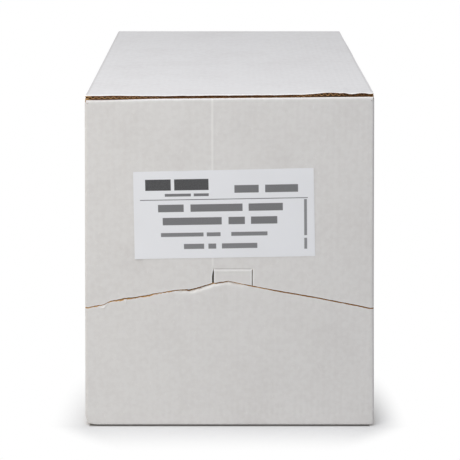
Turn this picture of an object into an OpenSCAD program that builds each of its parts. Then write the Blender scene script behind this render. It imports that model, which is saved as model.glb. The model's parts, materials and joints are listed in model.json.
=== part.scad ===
// White corrugated dispenser carton with a torn-open hood lid and a thumb tab.
// +Z is up and the front panel faces -Y. The origin is the middle of the base.
// Lengths are in millimetres.

/* [Carton] */
// Width across the front panel
carton_w = 163; // [135:1:200]
// Depth from the front panel to the back panel
carton_d = 265; // [215:1:320]
// Height from the base to the top face
carton_h = 194; // [160:1:235]

/* [Board] */
// Thickness of the corrugated board
board_t = 1.6; // [1.3:0.1:2]
// Thickness of each flat liner of the board
liner_t = 0.3; // [0.2:0.05:0.4]
// Thickness of the wavy paper between the liners
medium_t = 0.25; // [0.15:0.05:0.3]
// Length of one wave of that paper
flute_pitch = 3.3; // [2.8:0.1:4]
// How deep the waves stand open at a raw edge
flute_open = 3; // [1:0.5:6]
// Outer radius of a fold
fold_r = 2.2; // [2:0.1:3]

/* [Flaps] */
// How far an outer flap stops short of each side panel
flap_inset = 1; // [0.5:0.1:2]
// Length of the glue flap under an outer flap
glue_flap_l = 45; // [30:1:60]
// Length of each dust flap
dust_flap_l = 68; // [50:1:75]
// Width of the slot cut between two neighbouring flaps
slot_w = 3; // [2:0.1:4]
// How far that slot runs down into the corner
slot_drop = 2.4; // [1.5:0.1:4]
// How far a flap's side edges lean in towards its free end
flap_taper = 6; // [2:0.5:10]
// Width of the maker's glue seam inside the back panel
seam_w = 32; // [20:1:45]
// How far the back panel's cut edge stops short of the corner at that seam
seam_inset = 0.8; // [0.4:0.1:1.5]

/* [Tear line] */
// Height of the tear line at the front corners
tear_end_z = 71.6; // [50:0.1:90]
// Height of its peak
tear_peak_z = 88.2; // [70:0.1:110]
// How far its peak is from the middle of the front panel
tear_peak_x = -0.6; // [-5:0.1:5]
// Opening between the two edges where the cut is clean
tear_gap = 0.5; // [0.4:0.05:1]
// Height of the lid's side panels at their back ends
lid_tip_h = 4; // [3:0.5:10]

/* [Thumb tab] */
// Width of the tab
tab_w = 21.4; // [16:0.1:30]
// How far the middle of the tab is from the middle of the front panel
tab_x = 1.9; // [-5:0.1:5]
// How far the tab's crease is above the peak of the tear line
tab_crease_h = 7; // [5:0.1:12]
// Width of the slit at the tab's right side
slit_w = 0.45; // [0.35:0.05:1]
// Width of the wider slit at its left side, at the bottom
open_slit_w = 1; // [0.5:0.05:1.5]

/* [Label] */
// Width of the label
label_w = 101.6; // [80:0.1:120]
// Height of the label
label_h = 50.8; // [40:0.1:60]
// Thickness of the label
label_t = 0.12; // [0.08:0.01:0.3]
// How far the middle of the label is from the middle of the front panel
label_x = -3; // [-10:0.5:10]
// How far the label's lower edge is above the tab's crease
label_rise = 6.8; // [4:0.1:15]
// How far the label was stuck on askew, in degrees
label_tilt = 1; // [-3:0.1:3]

/* [Hidden] */

// Roundness of the folds
$fn = 48;
// How far a cut runs past what it cuts
over = 1;
// Clearance of the thumb tab in its crease
crease_gap = 0.1;
// Clearance of the flaps and the lid's panels round the glue seam
seam_clear = 1;

// The outer top flap lies on the glue and dust flaps, whose top is the deck
deck_z = carton_h - board_t;
inner_fold_r = fold_r - board_t;
front_y = -carton_d / 2;
back_y = carton_d / 2;

// The lid's panels end just in front of the glue seam, and the dust flaps with them
lid_back_y = back_y - 2 * board_t - seam_clear;
lid_tip_z = deck_z - lid_tip_h;

crease_z = tear_peak_z + tab_crease_h;
tab_left = tab_x - tab_w / 2;
tab_right = tab_x + tab_w / 2;
label_z = crease_z + label_rise + label_h / 2;

// The torn left half of the tear line, from the corner to the peak. Each row is the share of the way to
// the peak, how far the tear strays above the straight line, and how much wider than tear_gap it is there.
torn = [
    [0.00, 0.0, 0.0],
    [0.02, 0.7, 0.1],
    [0.08, 0.6, 0.2],
    [0.13, 0.8, 0.1],
    [0.18, 1.6, 0.1],
    [0.25, 1.4, 0.5],
    [0.36, 1.0, 0.1],
    [0.45, 0.6, 0.4],
    [0.52, 0.8, 0.1],
    [0.60, 0.5, 0.0],
    [0.68, 0.2, 0.1],
    [0.73, -1.1, 0.6],
    [0.81, -0.7, 0.5],
    [0.88, -0.1, 0.1]
];

// Point on one edge of the torn half, where side is -1 for the tray's edge and 1 for the lid's
function torn_point(row, side) = [
    -carton_w / 2 + row[0] * (carton_w / 2 + tear_peak_x),
    tear_end_z + row[0] * (tear_peak_z - tear_end_z) + row[1] + side * (tear_gap + row[2]) / 2
];

// One whole edge of the tear across the front panel, from left to right
function tear_edge(side) = concat(
    [for (row = torn) torn_point(row, side)],
    [
        [tear_peak_x, tear_peak_z + side * tear_gap / 2],
        [carton_w / 2, tear_end_z + side * tear_gap / 2]
    ]
);

// Half height of the wave of the inner paper. Each open flute stops this many degrees of the wave short of
// the crests at its ends, and its wave is drawn in steps of wave_step degrees.
wave_h = (board_t - 2 * liner_t - medium_t) / 2;
crest_land = 35;
wave_step = 58;

// One open flute in X and Z: a wave of the inner paper from crest to crest, closed by the flat liner
function flute_cell() = concat(
    [for (a = [90 + crest_land : wave_step : 450 - crest_land])
        [flute_pitch * a / 360, wave_h * sin(a) + medium_t / 2]],
    [
        [flute_pitch * (450 - crest_land) / 360, board_t / 2 - liner_t],
        [flute_pitch * (90 + crest_land) / 360, board_t / 2 - liner_t]
    ]
);

// Extrudes a shape drawn in X and Z along +Y, from y0
module along_y(y0, length) {
    translate([0, y0 + length, 0])
        rotate([90, 0, 0])
            linear_extrude(length)
                children();
}

// Extrudes a shape drawn in Y and Z along X, centred
module along_x(length) {
    rotate([90, 0, 90])
        translate([0, 0, -length / 2])
            linear_extrude(length)
                children();
}

// Extrudes a shape drawn in X and Y from z0 to z1
module along_z(z0, z1) {
    translate([0, 0, z0])
        linear_extrude(z1 - z0)
            children();
}

// Turns the carton end over end, so that what was made for the top closes the base
module upside_down() {
    translate([0, 0, carton_h])
        rotate([180, 0, 0])
            children();
}

// Rectangle from its low corner to its high corner
module rect(low, high) {
    translate(low)
        square(high - low);
}

// The same with each corner folded to its own radius, or left square by 0. The corners are low left,
// low right, high right and high left.
module folded_rect(low, high, radii) {
    corners = [low, [high[0], low[1]], high, [low[0], high[1]]];
    inward = [[1, 1], [-1, 1], [-1, -1], [1, -1]];
    difference() {
        rect(low, high);
        for (i = [0 : 3])
            if (radii[i] > 0)
                translate(corners[i] + inward[i] * (radii[i] - over) / 2)
                    square(radii[i] + over, center = true);
    }
    for (i = [0 : 3])
        if (radii[i] > 0)
            translate(corners[i] + inward[i] * radii[i])
                circle(radii[i]);
}

// Outside of the four walls seen from above. The back panel's cut edge lies over the glue seam at the
// back left corner, where the side panel folds in behind it.
module wall_plan() {
    folded_rect([-carton_w / 2, front_y], [carton_w / 2, back_y - board_t], [fold_r, fold_r, 0, fold_r]);
    folded_rect([-carton_w / 2 + seam_inset, back_y - 2 * fold_r], [carton_w / 2, back_y], [0, 0, fold_r, 0]);
}

// Inside of the four walls seen from above
module room_plan() {
    folded_rect(
        [-carton_w / 2 + board_t, front_y + board_t],
        [carton_w / 2 - board_t, back_y - board_t],
        [inner_fold_r, inner_fold_r, inner_fold_r, 0]
    );
}

// The glue flap and the two dust flaps that carry the outer top flap, seen from above
module flap_plan() {
    glue_w = carton_w / 2 - slot_w;
    glue_end = front_y + glue_flap_l;
    dust_start = glue_end + slot_w;
    dust_end_x = carton_w / 2 - dust_flap_l;
    polygon([
        [-glue_w, front_y],
        [glue_w, front_y],
        [glue_w - flap_taper, glue_end],
        [-glue_w + flap_taper, glue_end]
    ]);
    for (turn = [-1, 1])
        polygon([
            [turn * carton_w / 2, dust_start],
            [turn * dust_end_x, dust_start + flap_taper],
            [turn * dust_end_x, lid_back_y - flap_taper],
            [turn * carton_w / 2, lid_back_y]
        ]);
}

// Side view of the closed carton, with the folds that carry the two outer flaps
module closed_side() {
    folded_rect([front_y, 0], [back_y, carton_h], [fold_r, 0, fold_r, 0]);
}

// Outer flap of the top: folded from the back panel, with its cut edge flush with the front panel
module outer_flap() {
    flap_w = carton_w - 2 * flap_inset;
    flutes = floor(flap_w / flute_pitch) - 1;
    difference() {
        along_x(flap_w)
            intersection() {
                closed_side();
                rect([front_y, deck_z], [back_y, carton_h]);
            }
        along_y(front_y - over, flute_open + over)
            translate([-flute_pitch * (flutes + 1) / 2, carton_h - board_t / 2])
                for (i = [0 : flutes - 1]) {
                    translate([i * flute_pitch, 0])
                        polygon(flute_cell());
                    translate([(i - 0.5) * flute_pitch, 0])
                        mirror([0, 1])
                            polygon(flute_cell());
                }
    }
}

// What is cut away between the walls and the flaps of the top
module flap_gaps() {
    along_z(deck_z - board_t - over, deck_z + over)
        difference() {
            room_plan();
            flap_plan();
        }
    for (turn = [-1, 1])
        translate([turn * carton_w / 2, front_y, deck_z])
            cube([slot_w, slot_w, 2 * slot_drop], center = true);
}

// Walls, glue flaps and dust flaps of both ends, before the tear line divides them
module folded_blank() {
    difference() {
        intersection() {
            along_z(0, carton_h)
                wall_plan();
            along_y(front_y, carton_d)
                folded_rect(
                    [-carton_w / 2, board_t],
                    [carton_w / 2, deck_z],
                    [fold_r, fold_r, fold_r, fold_r]
                );
            along_x(carton_w)
                intersection() {
                    closed_side();
                    folded_rect([front_y, board_t], [back_y, deck_z], [0, fold_r, 0, fold_r]);
                }
        }
        intersection() {
            along_z(2 * board_t, deck_z - board_t)
                room_plan();
            along_y(front_y, carton_d)
                folded_rect(
                    [-carton_w / 2 + board_t, 2 * board_t],
                    [carton_w / 2 - board_t, deck_z - board_t],
                    [inner_fold_r, inner_fold_r, inner_fold_r, inner_fold_r]
                );
        }
        flap_gaps();
        upside_down()
            flap_gaps();
    }
}

// Glue tab of the side panel, inside the back panel
module glue_seam() {
    low_z = 2 * board_t + seam_clear;
    high_z = deck_z - board_t - seam_clear;
    left_x = -carton_w / 2 + board_t;
    along_y(back_y - 2 * board_t, board_t)
        polygon([
            [left_x, low_z],
            [left_x + seam_w, low_z + flap_taper],
            [left_x + seam_w, high_z - flap_taper],
            [left_x, high_z]
        ]);
}

// All the space on the lid's side of the tear line, where side is 1 up to the lid's own edge and -1 up to
// the tray's edge. The tear runs across the front panel, then up each side panel to the back.
module hood_zone(side) {
    edge = tear_edge(side);
    half_w = carton_w / 2 + over;
    top_z = carton_h + over;
    shift = side * tear_gap / 2;
    along_y(front_y - over, fold_r + over)
        polygon(concat(
            [[-half_w, edge[0][1]]],
            edge,
            [[half_w, tear_end_z + shift], [half_w, top_z], [-half_w, top_z]]
        ));
    along_x(2 * half_w)
        polygon([
            [front_y + fold_r, tear_end_z + shift],
            [lid_back_y - shift, lid_tip_z + shift],
            [lid_back_y - shift, top_z],
            [front_y + fold_r, top_z]
        ]);
}

// Opening in the lid that the thumb tab fills, with the slit at each side of the tab
module tab_window() {
    along_y(front_y - over, board_t + 2 * over)
        polygon([
            [tab_left - open_slit_w, tear_end_z],
            [tab_right + slit_w, tear_end_z],
            [tab_right + slit_w, crease_z],
            [tab_left - slit_w, crease_z]
        ]);
}

module carton_body() {
    color("whitesmoke") {
        difference() {
            folded_blank();
            hood_zone(-1);
        }
        upside_down()
            outer_flap();
        glue_seam();
    }
}

module lid() {
    color("white") {
        difference() {
            intersection() {
                folded_blank();
                hood_zone(1);
            }
            tab_window();
        }
        outer_flap();
    }
}

module push_tab() {
    color("gainsboro")
        intersection() {
            translate([tab_left, front_y, tear_end_z])
                cube([tab_w, board_t, crease_z - crease_gap - tear_end_z]);
            hood_zone(1);
        }
}

module label() {
    color("aliceblue")
        translate([label_x, front_y, label_z])
            rotate([0, -label_tilt, 0])
                translate([-label_w / 2, -label_t, -label_h / 2])
                    cube([label_w, label_t, label_h]);
}

carton_body();
lid();
push_tab();
label();
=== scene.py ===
"""Looks of a white corrugated dispenser carton: its boards, folds, torn edges and label, and a plain studio.

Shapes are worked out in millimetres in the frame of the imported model, and become metres in each mesh.
"""

import json
import math

import bmesh
import bpy
import numpy as np
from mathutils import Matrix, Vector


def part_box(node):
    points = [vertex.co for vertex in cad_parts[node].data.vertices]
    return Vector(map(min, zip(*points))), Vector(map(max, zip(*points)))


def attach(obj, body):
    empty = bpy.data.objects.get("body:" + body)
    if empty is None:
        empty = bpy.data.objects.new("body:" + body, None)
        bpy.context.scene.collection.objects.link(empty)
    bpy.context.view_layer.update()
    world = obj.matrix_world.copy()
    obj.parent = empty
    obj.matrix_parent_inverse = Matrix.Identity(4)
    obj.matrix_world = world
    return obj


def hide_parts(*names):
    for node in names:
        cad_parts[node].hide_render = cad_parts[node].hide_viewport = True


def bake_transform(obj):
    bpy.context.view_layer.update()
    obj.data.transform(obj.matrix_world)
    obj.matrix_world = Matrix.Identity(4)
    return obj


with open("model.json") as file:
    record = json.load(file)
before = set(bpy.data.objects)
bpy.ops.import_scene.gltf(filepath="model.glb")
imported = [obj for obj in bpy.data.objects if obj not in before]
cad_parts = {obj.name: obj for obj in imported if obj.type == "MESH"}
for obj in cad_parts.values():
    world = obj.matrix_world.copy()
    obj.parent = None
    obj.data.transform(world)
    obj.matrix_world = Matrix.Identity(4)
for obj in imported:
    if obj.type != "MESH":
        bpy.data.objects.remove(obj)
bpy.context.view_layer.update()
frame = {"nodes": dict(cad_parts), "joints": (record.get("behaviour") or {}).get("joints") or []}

MM = 0.001

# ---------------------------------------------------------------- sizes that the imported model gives


def node_points(*nodes):
    """All corners of some CAD nodes, in millimetres."""
    found = []
    for node in nodes:
        mesh = frame["nodes"][node].data
        points = np.empty(len(mesh.vertices) * 3, np.float32)
        mesh.vertices.foreach_get("co", points)
        found.append(points.reshape(-1, 3).astype(float) / MM)
    return np.vstack(found)


def node_box(node):
    """Lowest and highest corner of a CAD node, in millimetres."""
    low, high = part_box(node)
    return np.array(low) / MM, np.array(high) / MM


def edge_line(points, axis, plane, low, high):
    """The cut line on an upright face: the corners that lie on its plane between two heights, in order."""
    on_line = (np.abs(points[:, axis] - plane) < 0.01) & (points[:, 2] > low) & (points[:, 2] < high)
    line = points[on_line][:, [1 - axis, 2]]
    _, first = np.unique(np.round(line[:, 0], 2), return_index=True)
    return line[first]


tray_low, tray_high = node_box("carton_body")
_, lid_high = node_box("lid")
tab_low, tab_high = node_box("push_tab")
label_low, label_high = node_box("label")

HALF_W = tray_high[0]
FRONT = tray_low[1]
BACK = tray_high[1]
TOP = lid_high[2]
DECK = tray_high[2]
BOARD = TOP - DECK
CREASE = [joint for joint in frame["joints"] if joint["name"] == "tab_hinge"][0]["pos_m"][2] / MM

# Sizes of the board and its flaps, as the part's source has them

LINER = 0.3
MEDIUM = 0.25
PITCH = 3.3
OPEN_FLUTES = 3.0
FOLD = 2.2
INNER_FOLD = FOLD - BOARD
FLAP_INSET = 0.3  # how far the outer top flap's sides stay inside the walls, which the source sets at 1.0
BASE_INSET = 1.0  # the same for the outer bottom flap
GLUE_FLAP = 45.0
DUST_FLAP = 68.0
SLOT = 3.0
SLOT_DROP = 2.4
FLAP_TAPER = 6.0
SEAM_WIDTH = 32.0
SEAM_INSET = 0.8
SEAM_CLEAR = 1.0
LABEL_W = 101.6
LABEL_H = 50.8
LABEL_T = 0.12
LABEL_TILT = math.radians(1)

# The two edges of the tear, from the CAD nodes that it divides

tray_points = node_points("carton_body")
hood_points = node_points("lid", "push_tab")
TRAY_FRONT = edge_line(tray_points, 1, FRONT, 60, CREASE - 3)
HOOD_FRONT = edge_line(hood_points, 1, FRONT, 60, CREASE - 3)
TRAY_SIDE = edge_line(tray_points, 0, HALF_W, 60, DECK - SLOT_DROP - 0.5)
HOOD_SIDE = edge_line(hood_points, 0, HALF_W, 60, DECK - SLOT_DROP - 0.5)
PEAK_X = TRAY_FRONT[np.argmax(TRAY_FRONT[:, 1]), 0]
HOOD_END = HOOD_SIDE[-1, 0]
TRAY_STEP = TRAY_SIDE[-1, 0]

CORNER_X = HALF_W - FOLD  # where the flat panels end and their upright folds begin
FRONT_FOLD_Y = FRONT + FOLD
BACK_FOLD_Y = BACK - FOLD
SEAM_FOLD_Y = BACK - BOARD - FOLD
FOLD_TURN = 85  # degrees that a fold is drawn through before its flap takes over
FOLD_SHARP = 0.6  # power of a fold's sine and cosine, where 1 is a round fold and less is a sharper one
FOLD_REACH = FOLD * (1 - math.cos(math.radians(FOLD_TURN)) ** FOLD_SHARP)
BEND_LIP = 3.0  # how far the bent strip at the lid's hinge runs on past its fold
BEND_CORNERS = (1.0, 1.8)  # how far its left and right corners are rounded off
BEND_Z = TOP - FOLD - BEND_LIP
BEND_Y = BACK - FOLD - BEND_LIP
TINY = 0.01

# The thumb tab's slits, which are tighter at the crease than lower down

TAB_LEFT, TAB_RIGHT = tab_low[0], tab_high[0]
WINDOW_LEFT = TAB_LEFT - 0.06
WINDOW_RIGHT = TAB_RIGHT + 0.45
CREASE_TOP = CREASE + 1.0
CREASE_LOW = CREASE - 2.5

WHITE, KRAFT, CUT = 0, 1, 2  # a board's three finishes: outer liner, inner liner and cut edge

# ---------------------------------------------------------------- small helpers


def noise(at, size, seed):
    """Smooth random numbers from -1 to 1 along a line: values one size apart, joined by cosine steps."""
    at = np.asarray(at, float) / size
    whole = np.floor(at).astype(int)
    values = np.random.default_rng(seed).uniform(-1, 1, 4096)
    step = (1 - np.cos(np.pi * (at - whole))) / 2
    return values[whole % 4096] * (1 - step) + values[(whole + 1) % 4096] * step


def smooth(t):
    """0 below 0, 1 above 1, and an S curve between."""
    t = np.clip(t, 0, 1)
    return t * t * (3 - 2 * t)


def hump(at, middle, half_width):
    """A bell curve, 1 at its middle and about a third at half_width from it."""
    return np.exp(-(((np.asarray(at, float) - middle) / half_width) ** 2))


def grid(x, y, z):
    """A grid of points from three arrays that broadcast together."""
    return np.stack(np.broadcast_arrays(x, y, z), axis=-1).astype(float)


def stations(*stops):
    """Places along a line. stops are (place, largest step from there to the next place)."""
    parts = []
    for (place, step), (following, _) in zip(stops[:-1], stops[1:]):
        count = max(1, int(math.ceil(abs(following - place) / step)))
        parts.append(place + (following - place) * np.arange(count) / count)
    return np.concatenate(parts + [[stops[-1][0]]])


# ---------------------------------------------------------------- how the used carton strays from square

TAPER = 2.0  # how much wider the base is than square at each side, and how much narrower the top is
SPREAD = 0.4  # how much wider it is all the way up
SKEW = 0.75  # how far the front of the top rises to the right of the middle and drops to its left
SKEW_FROM = 95.0  # height at which that begins
SKEW_DEPTH = 150.0  # how far behind the front it dies out, and the raised front fold with it
SAG = 0.45  # how far the left end of the front fold of the top is crushed down
SAG_FROM = 38.0  # how far left of the middle that begins, and where it is full
SAG_TO = 72.0
RISE = 0.9  # how much the front fold of the top stands up
LIFT = 0.3  # how far the front fold of the base stands off the floor
LIFT_HEIGHT = 3.0  # how far up and how far back that dies out
LIFT_DEPTH = 30.0
CRUSH = 1.2  # how far the lower left corner is pushed in
CRUSH_WAY = (0.8, 0.5, 0.5)  # shares of that along x, y and z
CRUSH_REACH = 7.0  # how far from that corner it is felt
FLARE = 0.23  # how far the right side swells out at its base
FLARE_HEIGHT = 90.0
DRAWN_IN = 0.75  # how far the right side is drawn in at its back
DRAWN_FROM = 20.0  # places along y between which it is
DRAWN_TO = 115.0
RIDGE_X = -9.45  # where the ridge runs that is pressed up the front panel from the left slit
TOP_FOLD_FROM = 160.0  # heights between which the front fold of the top comes to stand up
TOP_FOLD_TO = 187.0


def settle(points):
    """Moves points as the whole carton strays from square: it has spread, most at its base, the front of its
    top stands up and rises to the right, though the left end of that fold is crushed down, the front fold of
    its base stands off the floor, its lower left corner is crushed, and its right side swells at the base and
    is drawn in at the back."""
    x, y, z = points[..., 0], points[..., 1], points[..., 2]
    near = smooth(1 - (y - FRONT) / SKEW_DEPTH)
    skewed = SKEW * x / HALF_W * smooth((z - SKEW_FROM) / (TOP - SKEW_FROM))
    risen = RISE * smooth((z - TOP_FOLD_FROM) / (TOP_FOLD_TO - TOP_FOLD_FROM))
    from_corner = np.sqrt((x + HALF_W) ** 2 + (y - FRONT) ** 2 + z**2)
    crushed = CRUSH * smooth(1 - from_corner / CRUSH_REACH)
    lifted = LIFT * smooth(1 - z / LIFT_HEIGHT) * smooth(1 - (y - FRONT) / LIFT_DEPTH)
    sagged = SAG * smooth((-x - SAG_FROM) / (SAG_TO - SAG_FROM))
    sagged = sagged * smooth((z - DECK + 4) / 4) * smooth(1 - (y - FRONT - 1) / 3)
    swollen = FLARE * smooth(1 - z / FLARE_HEIGHT)
    drawn = DRAWN_IN * smooth((y - DRAWN_FROM) / (DRAWN_TO - DRAWN_FROM))
    widened = (SPREAD + 2 * TAPER * (0.5 - z / TOP)) / HALF_W
    moved_x = x * (1 + widened) + (swollen - drawn) * smooth(x / HALF_W)
    moved_z = z + (skewed + risen) * near + lifted - sagged
    return grid(moved_x, y, moved_z) + crushed[..., None] * CRUSH_WAY


def bow(share_across, share_up, most):
    """How far a panel bows out: a half cosine wave across it times a half sine wave up it."""
    return most * np.cos(np.pi * np.clip(share_across, -0.5, 0.5)) * np.sin(np.pi * np.clip(share_up, 0, 1))


FRONT_BOW = 0.45
SIDE_BOW = 0.7


def front_out(x, z):
    """How far the front panel stands out: its bow, the ridge up from the left slit, slow unevenness."""
    ridge = 0.05 * hump(x, RIDGE_X, 0.9) * smooth((z - CREASE) / 6)
    wander = 0.07 * noise(x + 0.3 * z, 23, 5) * noise(z, 31, 6)
    return bow(x / HALF_W / 2, z / TOP, FRONT_BOW) + ridge + wander


def side_out(y, z):
    """How far a side panel stands out."""
    return bow(y / (BACK - FRONT), z / TOP, SIDE_BOW) + 0.08 * noise(y, 37, 7) * noise(z, 29, 8)


def flap_lift(points):
    """How far the outer top flap stands off the deck. Its glue has let go towards the right corner, where it
    bows up and waves, its top liner most of all, and its edge has swollen at the left."""
    x, from_edge, layer = points[..., 0], points[..., 1] - FRONT, (points[..., 2] - DECK) / BOARD
    bowed = 0.95 * hump(x, 55, 9.5) * np.exp(-from_edge / 16)
    waved = 0.4 * np.sin((x - 59.5) / 1.9) * smooth((x - 62) / 4) * smooth((HALF_W - x) / 3)
    uneven = 0.10 * noise(x, 7, 11) + 0.06 * noise(x, 2.6, 12)
    loose = 0.3 * smooth((x - 55) / 12) * np.exp(-from_edge / 16)
    lifted = (bowed + loose + (waved + uneven) * np.exp(-from_edge / 4)) * (0.25 + 0.75 * layer)
    pressed = 0.2 * smooth((x + 60) / 25) - 0.75 * smooth((-x - 42) / 25)
    return lifted - pressed * np.exp(-from_edge / 5) * layer


# ---------------------------------------------------------------- the tear line

TEAR_CLOSED = 0.42  # how much closer together the torn edges are than in the CAD

# Where the tear strays from its straight lines: how far up, about which place along x, over what half width
TEAR_STRAYS = ((0.26, -11, 8), (0.18, 46, 10), (-0.33, 17, 26), (-0.65, -75, 10), (-0.22, 80, 5))


def on_front(y):
    """Whether a place on the walls belongs to the front panel or its corners."""
    return y < FRONT_FOLD_Y + TINY


def raggedness(x, y):
    """1 along the left half of the front, which tore, small where the perforation came clean, 0 behind it."""
    front = 0.25 + 0.75 * smooth((PEAK_X - 1 - x) / 3)
    return np.where(on_front(y), front, 0.3 * (y < TRAY_STEP + TINY / 2))


def tear_height(front_line, side_line, x, y, seed, lean):
    """Height of one edge of the tear: its line in the CAD, ragged noise that both edges share, finer noise of
    its own, and small nubs at the nicks that held the perforation every 8 mm, up for a lean of 1 or down for
    one of -1."""
    raised = sum(height * hump(x, place, reach) for height, place, reach in TEAR_STRAYS)
    line = np.where(on_front(y), np.interp(x, *front_line.T), np.interp(y, *side_line.T))
    line = line + raised * smooth(1 - (y - FRONT_FOLD_Y) / 20)
    at = np.where(on_front(y), x, y)
    ragged = raggedness(x, y)
    strays = 0.2 * noise(at, 3.1, 30) + 0.13 * noise(at, 1.1, 31) + 0.05 * noise(at, 0.5, seed)
    return line + ragged * strays + lean * 0.07 * hump((at + 4) % 8, 4, 0.55) * (ragged < 0.5)


def tray_edge(x, y):
    """Height of the tray's free edge: the tear, and behind it the full height, less the lid's bend."""
    z = tear_height(TRAY_FRONT, TRAY_SIDE, x, y, 32, 1) + TEAR_CLOSED
    z = np.where(y > TRAY_STEP + TINY / 2, DECK, z)
    return np.where((y > BACK - TINY) & (np.abs(x) < CORNER_X - TINY / 2), BEND_Z, z)


def tray_middle(x, y):
    """Height down to which the tray's rows are close together."""
    return tray_edge(x, y) - 12


def hood_edge(x, y):
    """Height of the hood's free edge."""
    return tear_height(HOOD_FRONT, HOOD_SIDE, x, y, 33, -1)


def hood_middle(x, y):
    """Height up to which the hood's rows are close together: just over the tab's crease on the front."""
    edge, notch, corner_edge = hood_edge(x, y), DECK - SLOT_DROP, HOOD_SIDE[0, 1]
    share = (CREASE_TOP - corner_edge) / (notch - corner_edge)
    return np.where(on_front(y), CREASE_TOP, edge + share * (notch - edge))


def tab_middle(x, y):
    """Height at which the tab's board meets its crease strip."""
    return CREASE_LOW + 0 * x


def thumbed(x):
    """1 in the middle of the front, where pushing the tab in has bent the tray's edge, and 0 elsewhere."""
    return smooth((x + 33) / 6) * smooth((11 - x) / 7)


def tray_push(x, y):
    """How far the tray's outer liner is pushed in at the tear."""
    crumpled = 1.1 + 0.35 * noise(x, 3.4, 48) + 0.15 * noise(x, 1.2, 49)
    return np.where(on_front(y), crumpled * thumbed(x) + 0.12 * np.abs(noise(x, 5, 41)), 0.0)


def tray_retreat(x, y):
    """How much of the tray's outer liner is torn away at its edge, so that the inside of the board shows."""
    torn = 0.6 + 0.25 * noise(x, 4.2, 43) + 0.14 * noise(x, 1.1, 44)
    clean = 0.6 + 0.17 * smooth((x - 16) / 12)
    front = clean + (torn - clean) * raggedness(x, y)
    return np.where(on_front(y), front, 0.3 * (y < TRAY_STEP + TINY / 2))


def unhurt(x, y):
    """Neither pushed in nor torn away, for edges that came away clean."""
    return 0 * x


def tray_wear(x, y, z, edge):
    """How worn the tray's outer liner is, from 0 to 1: in a band along the tear, widest where thumbed."""
    below = np.maximum(edge - z, 0)
    uneven = 0.75 + 0.25 * noise(x, 2.3, 45)
    width = 1.9 + 0.8 * hump(x, -7, 6) + 0.6 * noise(x, 2.6, 46)
    bared = thumbed(x) * smooth(width - below)
    return on_front(y) * uneven * (0.6 * np.exp(-below / 0.6)).clip(bared)


def slit_wear_and_highlight(x, z, sides):
    """How pale the liner is beside the slits, whose sides are at two places along x: partly worn fibre and
    partly a painted highlight on their raised edges.
    """
    beside = 0.6 * hump(x, sides[0], 0.45) + 0.6 * hump(x, sides[1], 0.45)
    return beside * smooth((CREASE + 0.8 - z) / 0.8)


def hood_wear(x, y, z, edge):
    """How worn the hood's outer liner is along the tear, and how pale it is beside the slits, from wear and a
    painted highlight.
    """
    along_tear = 0.5 * np.exp(-np.abs(z - edge) / 0.5)
    return on_front(y) * (along_tear + slit_wear_and_highlight(x, z, (WINDOW_LEFT - 0.4, WINDOW_RIGHT + 0.4)))


def tab_wear(x, y, z, edge):
    """How worn the thumb tab's outer liner is along the tear, and how pale it is beside the slits, from wear
    and a painted highlight.
    """
    along_tear = 0.5 * np.exp(-np.abs(z - edge) / 0.5)
    return along_tear + slit_wear_and_highlight(x, z, (TAB_LEFT + 0.4, TAB_RIGHT - 0.4))


def flake(left, right, drop, stand):
    """A flake of the tray's outer liner that hangs from the tear between two places along x. Its width
    shrinks as the square root of what is left of its drop, and it stands out as the square of the way
    down."""
    down = np.linspace(0, 0.97, 7)[:, None]
    s = np.linspace(-1, 1, 9)[None, :]
    middle, half = (left + right) / 2, (right - left) / 2
    x = middle + half * (s + 0.25 * noise(down * 9, 2.2, 47)) * np.sqrt(1 - down)
    top = tray_edge(x, np.full(x.shape, FRONT)) - 0.3
    out = FRONT - 0.06 - front_out(x, top) - stand * down**2 * (1 + 0.3 * s)
    skins = [grid(x, out + thick, top - drop * down) for thick in (0, 0.14)]
    return close_board([(*skins, x, 0 * x, 0 * x + 0.4)], (WHITE, WHITE, WHITE))


# ---------------------------------------------------------------- walls

NOTCH_FILL = 1.5
NOTCH_RISE = 1.2
LOW_ROWS = (np.arange(15) / 14)[:, None] ** 2
HIGH_ROWS = np.linspace(0, 1, 26)[:, None]
QUARTER = np.radians(np.linspace(0, FOLD_TURN, 8))[:, None]

# What a wall's free edge is like: its height, where its rows stop being close, how far its outer liner is
# pushed in, how much of that is torn away, and how worn the liner is near it, which beside the slits is
# partly a painted highlight
TRAY = (tray_edge, tray_middle, tray_push, tray_retreat, tray_wear)
HOOD = (hood_edge, hood_middle, unhurt, unhurt, hood_wear)
TAB = (hood_edge, tab_middle, unhurt, unhurt, tab_wear)


def widen_fold(panel):
    """Spreads the front panel's top fold towards the corners, so that their notches are nearly shut."""
    for skin in panel[:2]:
        skin[..., 0] *= 1 + NOTCH_FILL / CORNER_X * smooth((skin[..., 2] - DECK + SLOT_DROP) / 1.2)
    return panel


def columns_along(x, y, normal, kind, end):
    """Columns of a wall along x and y, whose upright fold faces normal and whose far end folds into the
    plane at height end."""
    x, y, nx, ny, end = np.broadcast_arrays(np.asarray(x, float), y, normal[0], normal[1], end)
    edge, middle, push, retreat = (rule(x, y) for rule in kind[:4])
    across = x * np.abs(ny) + y * np.abs(nx)
    return x, y, nx, ny, end, edge, middle, push, retreat, across, kind[4]


def corner(centre, start, stop, kind, ends, raised=0.0):
    """Columns round an upright fold, from one angle to another in degrees, between two end planes. Half way
    round, the end is raised."""
    turn = np.radians(np.linspace(start, stop, 9))
    share = np.linspace(0, 1, 9)
    end = ends[0] + (ends[1] - ends[0]) * smooth(share) + raised * np.sin(np.pi * share)
    nx, ny = np.round(np.cos(turn), 12), np.round(np.sin(turn), 12)
    x = centre[0] + FOLD * np.sign(nx) * np.abs(nx) ** FOLD_SHARP
    y = centre[1] + FOLD * np.sign(ny) * np.abs(ny) ** FOLD_SHARP
    return columns_along(x, y, (nx, ny), kind, end)


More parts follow.
